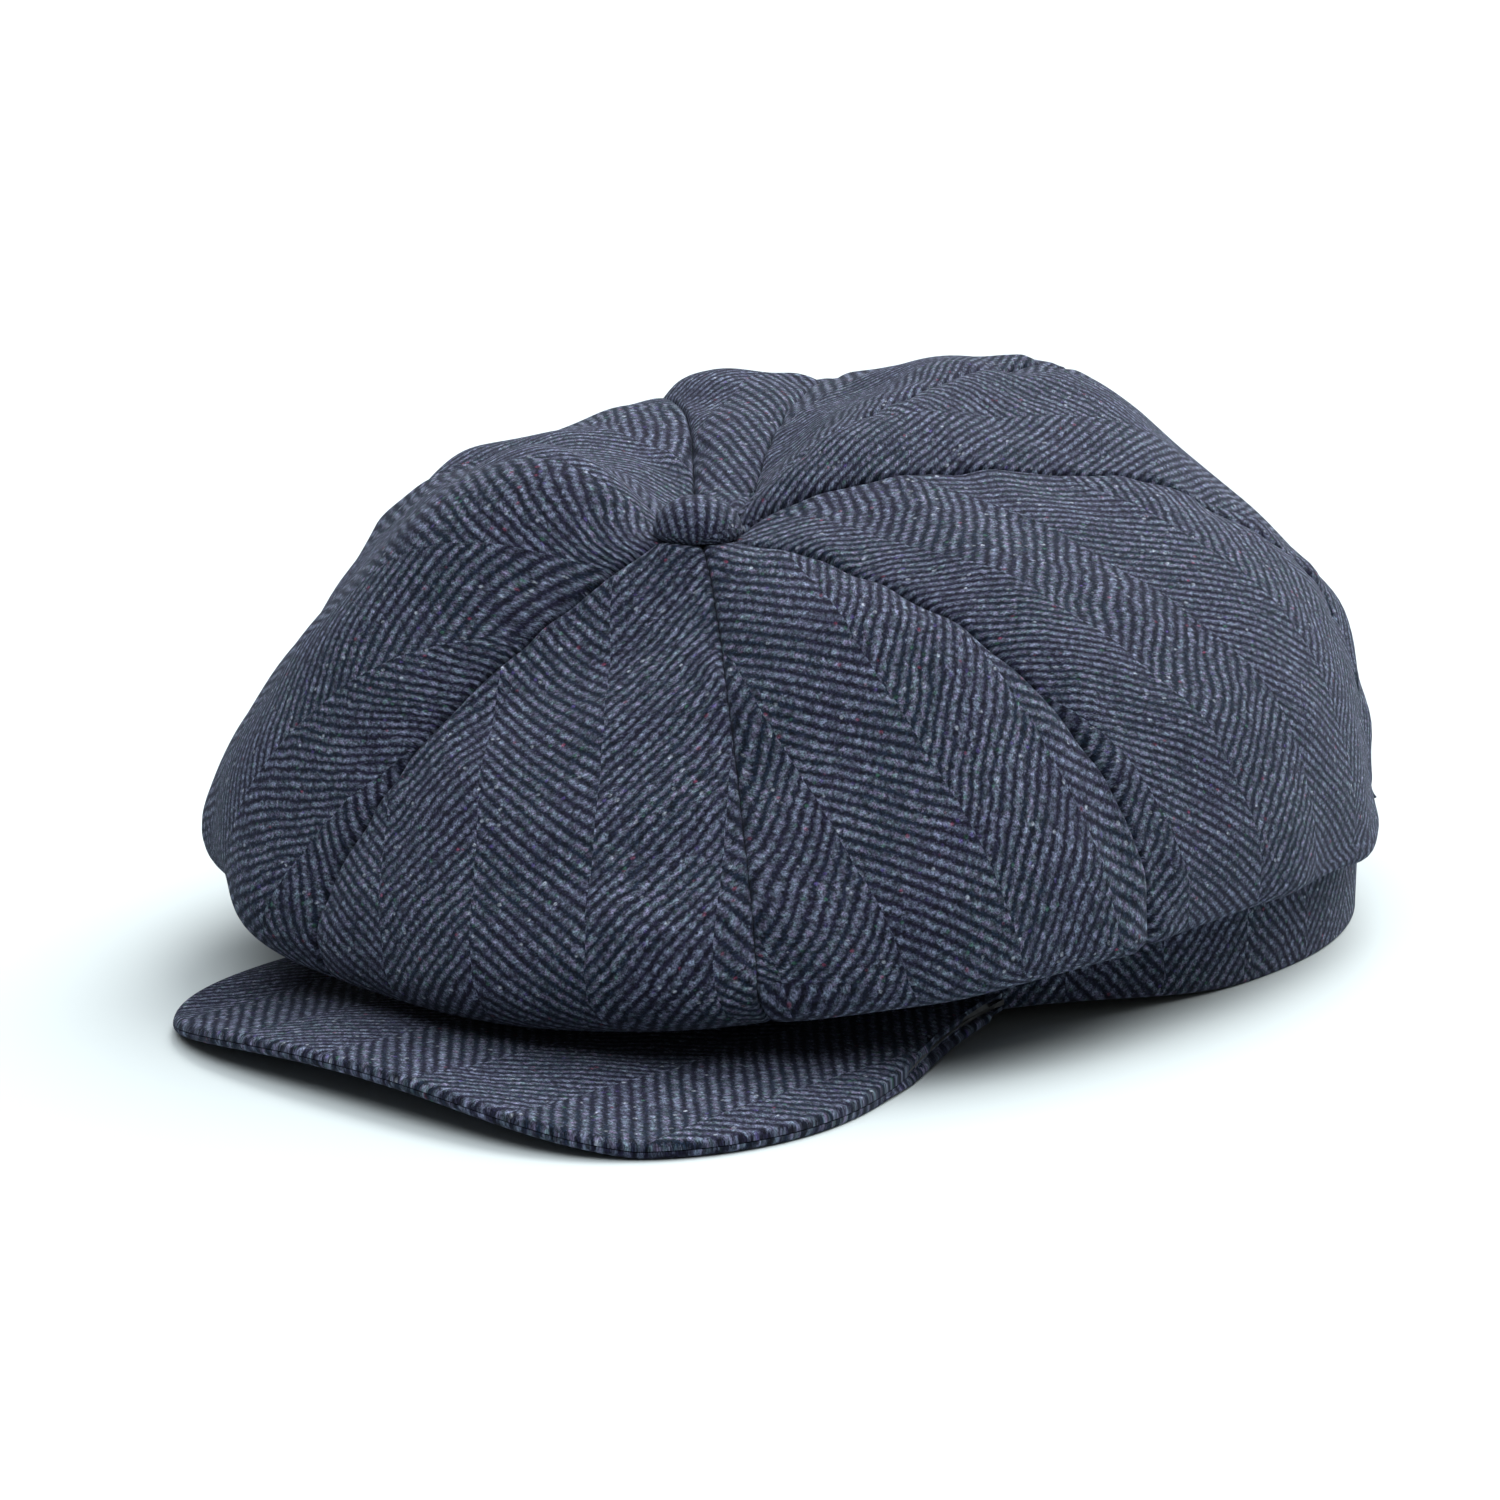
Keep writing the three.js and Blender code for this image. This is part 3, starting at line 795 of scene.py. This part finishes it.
for index, panel in enumerate(PANEL_NAMES):
    face, cloth = panel_grid(index, PANEL_ROWS, PANEL_COLUMNS)
    cloth = on_grain(cloth, index)
    weave_offset = [step * index for step in PANEL_WEAVE_STEP]
    gore = cloth_solid(f"crown_gore_{panel}", face, PANEL_CLOTH, cloth, TWEED, weave_offset)
    stands_for(f"crown_panel_{panel}")
    bends(gore)

    face, cloth = panel_grid(index, LINING_ROWS, LINING_COLUMNS)
    face = lining_face(face, meridian_steps(LINING_ROWS))
    lining = cloth_solid(f"lining_{panel}", face, LINING_CLOTH, cloth, SATIN, weave_offset)
    stands_for(f"lining_gore_{panel}")
    bends(lining)


# --- Headband --------------------------------------------------------------------------------

BAND_WAVE = Waves(seed=21, shortest=45, longest=110)


def band_bottom(angle):
    """The lower edge's height: lifted at the front, where the visor is sewn on."""
    turn = np.abs((angle + PI) % (2 * PI) - PI)
    return BAND_FRONT_LIFT * (1 - smoothstep(turn, *BAND_LIFT_ENDS))


def band_ring(name, outset, thickness, bottom, top, material):
    """An upright strip round the head opening, with both long edges rounded."""
    angle = np.linspace(0, 2 * PI, BAND_STEPS + 1)[:-1][None, :]
    round_radius = thickness / 2
    side = np.linspace(0, 1, 13)
    turn = np.linspace(0, PI, 9)[1:-1]
    flat, arc = np.ones(len(side)), np.ones(len(turn))
    out = np.concatenate([
        flat * round_radius, round_radius * np.cos(turn),
        flat * -round_radius, -round_radius * np.cos(turn),
    ])[:, None]
    share = np.concatenate([1 - side, arc * 0, side, arc])[:, None]
    cap = np.concatenate([flat * 0, -np.sin(turn), flat * 0, np.sin(turn)])[:, None]
    low = band_bottom(angle) + bottom + round_radius
    height = lerp(low, top - round_radius, share) + cap * round_radius
    loops = band_point(angle, outset - round_radius + out, height)
    sway = BAND_WAVE(loops) * BAND_SWAY * (1 - share)
    loops = loops + unit(loops * [1, 1, 0]) * sway[..., None]
    run = run_lengths(loops, 1)
    cloth = np.stack([np.broadcast_to(run[:1], height.shape), height], -1)
    obj = ring_solid(name, loops, cloth, material)
    bends(obj)
    return obj


band_top = BAND_TOP - LAYER_GAP
band = band_ring("headband_cloth", BAND_CLOTH, BAND_CLOTH, 0, band_top, TWEED)
stands_for("headband_outer")
tape = band_ring("headband_stiffening", -LAYER_GAP, STIFFENING_CLOTH, STIFFENING_INSET,
                 BAND_TOP - STIFFENING_INSET, CANVAS)
stands_for("headband_interlining")
sweat = band_ring("sweatband_tape", SWEATBAND_OUTSET, SWEATBAND_CLOTH, SWEATBAND_BOTTOM, BAND_TOP, TAPE)
stands_for("sweatband")


def care_label():
    """A blank label that hangs inside the back of the sweatband."""
    angle = PI + np.radians(np.linspace(-LABEL_HALF_TURN, LABEL_HALF_TURN, 25))[None, :]
    top = BAND_TOP - LABEL_DROP
    up = np.linspace(top, top - LABEL_HEIGHT, 13)[:, None]
    face = band_point(angle, LABEL_OUTSET, up)
    run = run_lengths(face, 1)[:1]
    cloth = np.stack(np.broadcast_arrays(run, up), -1)
    label = cloth_solid("care_label_tape", face, LABEL_CLOTH, cloth, LABEL)
    stands_for("care_label")
    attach(label, "cap")


care_label()


# --- Visor -----------------------------------------------------------------------------------

def visor_root(side, outset):
    return band_point(side * math.radians(VISOR_ROOT_ANGLE), outset, BAND_FRONT_LIFT)


def visor_edge(side):
    """The visor's outline: a squarish oval that springs from the ends of the root."""
    turn = side * PI / 2
    root = visor_root(np.where(side < 0, -1.0, 1.0), BAND_CLOTH + VISOR_EDGE_GAP)
    root_ahead = -root[..., 1]
    share = 2 / VISOR_SQUARENESS
    cos = np.maximum(np.cos(turn), 0)
    spread = np.abs(np.sin(turn)) ** share
    at_root = (1 - cos) ** VISOR_LEAVE_POWER
    narrowing = 1 - at_root * (1 - np.abs(root[..., 0]) / VISOR_HALF_WIDTH)
    left = np.sign(side) * VISOR_HALF_WIDTH * spread * narrowing + VISOR_LEFT * (1 - at_root)
    ahead = lerp(root_ahead, VISOR_AHEAD, cos ** share)
    arch = VISOR_ARCH * np.maximum(0, 1 - ((left - VISOR_LEFT) / VISOR_CONTACT) ** 2)
    reach = VISOR_ROOT_RISE * (VISOR_AHEAD - root_ahead)
    back = np.clip((root_ahead + reach - ahead) / reach, 0, 1)
    return place(left, ahead, np.maximum(arch, back * BAND_FRONT_LIFT))


ROLL = VISOR_THICKNESS / 2


def visor_grid(hem, outset):
    """Root-to-edge lines of the visor, closely spaced near the edge."""
    side = np.linspace(-VISOR_SIDE_END, VISOR_SIDE_END, VISOR_STEPS)[None, :]
    root, edge = visor_root(side, outset), visor_edge(side)
    length = np.linalg.norm((edge - root)[..., :2], axis=-1)
    near = np.array(VISOR_EDGE_LINES)[:, None]
    room = np.minimum(1, length / VISOR_FULL_LENGTH)
    inner = np.linspace(0, 1, VISOR_INNER_ROWS + 1)[:-1][:, None]
    distance = np.concatenate([
        lerp(length, (near[0] + hem) * room, inner),
        (near + hem) * room,
    ])
    t = np.clip(1 - distance / length, 0, 1)
    point = root + (edge - root) * t[..., None]
    point[..., 2] = lerp(root[..., 2], edge[..., 2], t ** VISOR_FALL_POWER)
    return point, distance, room


VISOR_SWELL = Waves(seed=31, shortest=30, longest=80)


def visor_cover(name, node, upper):
    """One side of the visor's cloth, rolled over at its edge to meet the other side."""
    point, distance, room = visor_grid(0.0, BAND_CLOTH + VISOR_COVER_GAP)
    roll = ROLL * room
    inside = np.clip(roll - distance, 0, None)
    dome = np.sqrt(np.maximum(roll ** 2 - inside ** 2, 0)) / roll
    rise = dome * (ROLL - COVER_PARTING) + COVER_PARTING
    swell = COVER_SWELL * VISOR_SWELL(point) * smoothstep(distance, *COVER_SWELL_BEGINS)
    face = point.copy()
    face[..., 2] += ROLL + (rise + np.maximum(swell, COVER_DEEPEST) if upper else -rise)
    cloth = np.stack([point[..., 0], -point[..., 1]], -1)
    if not upper:
        face = face[:, ::-1]
        cloth = cloth[:, ::-1]
    weave_offset = (3 * COLUMN, 2500 if upper else 3100)
    obj = cloth_solid(name, face, VISOR_COVER, cloth, TWEED, weave_offset)
    stands_for(node)
    bends(obj)


visor_cover("visor_upper_cloth", "visor_top_cover", True)
visor_cover("visor_lower_cloth", "visor_bottom_cover", False)

board_face, _, _ = visor_grid(VISOR_BOARD_HEM, BAND_CLOTH + VISOR_BOARD_GAP)
board_face[..., 2] += ROLL + VISOR_BOARD / 2
board_cloth = np.stack([board_face[..., 0], -board_face[..., 1]], -1)
board = cloth_solid("visor_stiffener", board_face, VISOR_BOARD, board_cloth, BOARD)
stands_for("visor_board")
bends(board)


# --- Button ----------------------------------------------------------------------------------

def button_cloth():
    """Cloth pulled over a dome and tucked in under its rim."""
    ring = np.linspace(0, 2 * PI, 97)[:-1][None, :]
    turn = np.linspace(0, 1, 31)[1:, None] * BUTTON_TUCK
    over = np.minimum(turn, PI / 2)
    under = smoothstep(turn, PI / 2, BUTTON_TUCK)
    folds = np.cos(GATHERS * ring + 0.8 * np.sin(2 * ring))
    gather = GATHER_DEPTH * folds * smoothstep(turn, 1.1, 2.0)
    radius = BUTTON_RADIUS * np.sin(over) - BUTTON_TUCK_IN * under + gather
    height = BUTTON_RIM + (BUTTON_HEIGHT - BUTTON_RIM) * np.cos(over) - BUTTON_TUCK_DROP * under

    def shell(radius, height, top):
        left, ahead = radius * np.sin(ring), BUTTON_AHEAD + radius * np.cos(ring)
        crest = place(0, BUTTON_AHEAD, top)[None]
        rings = place(left, ahead, height)
        return np.concatenate([crest, rings.reshape(-1, 3)]) + [0, 0, BUTTON_SEAT_Z]

    outer = shell(radius, height, BUTTON_HEIGHT)
    inner_radius = radius - BUTTON_CLOTH * smoothstep(turn, 0.3, 1.5)
    inner_height = np.maximum(height - BUTTON_CLOTH, 0.25)
    inner = shell(inner_radius, inner_height, BUTTON_HEIGHT - BUTTON_CLOTH)
    rows, columns = height.shape[0], ring.size
    count = len(outer)
    last = 1 + (rows - 1) * columns
    faces = grid_faces(rows, columns, 1, False, closed=True).tolist()
    faces += grid_faces(rows, columns, count + 1, True, closed=True).tolist()
    for k in range(columns):
        after = (k + 1) % columns
        faces.append((0, 1 + k, 1 + after))
        faces.append((count, count + 1 + after, count + 1 + k))
        faces.append((last + k, last + k + count, last + after + count, last + after))
    run = BUTTON_RADIUS * turn
    flat = np.stack([run * np.sin(ring), run * np.cos(ring)], -1).reshape(-1, 2)
    flat = np.concatenate([np.zeros((1, 2)), flat])
    cloth = np.concatenate([flat, flat]) + [1.5 * COLUMN, 4000]
    return make_object("button_cloth", np.concatenate([outer, inner]), faces, cloth, TWEED)


button = button_cloth()
stands_for("button_cover")
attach(button, "cap")

for node in ("button_shell", "button_back_plate", "button_shank"):
    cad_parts[node].material_slots[0].material = STEEL


# --- Floor, light and camera -----------------------------------------------------------------

def make_floor():
    mesh = bpy.data.meshes.new("floor")
    corners = [(-1, -1), (1, -1), (1, 1), (-1, 1)]
    mesh.from_pydata([(x * FLOOR_HALF, y * FLOOR_HALF, 0) for x, y in corners], [], [(0, 1, 2, 3)])
    g = Graph("floor")
    where = g.node("ShaderNodeTexCoord").outputs["Object"]
    tone = g.mix(g.noise(where, 3.0, 2), *map(srgb, FLOOR_TONES))
    g.feed(g.shader.inputs["Base Color"], tone)
    g.feed(g.shader.inputs["Roughness"], 0.8)
    g.feed(g.shader.inputs["Specular IOR Level"], 0.2)
    mesh.materials.append(g.material)
    obj = bpy.data.objects.new("floor", mesh)
    bpy.context.scene.collection.objects.link(obj)


def soft_sun(name, towards, strength, spread, colour):
    """Light from a wide patch of sky, spread degrees across: towards points at its middle."""
    light = bpy.data.lights.new(name, "SUN")
    light.energy = strength
    light.angle = math.radians(spread)
    light.color = colour
    obj = bpy.data.objects.new(name, light)
    obj.rotation_euler = Vector(towards).to_track_quat("Z", "Y").to_euler()
    bpy.context.scene.collection.objects.link(obj)


make_floor()
soft_sun("key", (0.0, 0.8, 0.72), 4.8, 60, WARM_WHITE)
soft_sun("top", (0.0, 0.0, 1.0), 2.7, 90, COOL_WHITE)
soft_sun("front", (0.3, -0.3, 1.0), 0.9, 50, COOL_WHITE)

world = bpy.data.worlds.new("studio")
world.use_nodes = True
background = world.node_tree.nodes["Background"]
background.inputs["Color"].default_value = (1, 1, 1, 1)
background.inputs["Strength"].default_value = WORLD_LIGHT
bpy.context.scene.world = world
bpy.context.scene.view_settings.view_transform = "Standard"


def make_camera():
    data = bpy.data.cameras.new("camera")
    data.sensor_width = CAMERA_SENSOR
    data.lens = CAMERA_LENS
    data.clip_end = CAMERA_FAR
    camera = bpy.data.objects.new("camera", data)
    sin, cos = math.sin(CAMERA_AZIMUTH), math.cos(CAMERA_AZIMUTH)
    level, fall = math.cos(CAMERA_ELEVATION), -math.sin(CAMERA_ELEVATION)
    right = np.array([cos, sin, 0])
    forward = np.array([-sin * level, cos * level, fall])
    up = np.cross(right, forward)
    turn = Matrix(np.column_stack([right, up, -forward]).tolist()).to_4x4()
    camera.matrix_world = Matrix.Translation(to_frame(CAMERA_PLACE).tolist()) @ turn
    bpy.context.scene.collection.objects.link(camera)
    bpy.context.scene.camera = camera


make_camera()
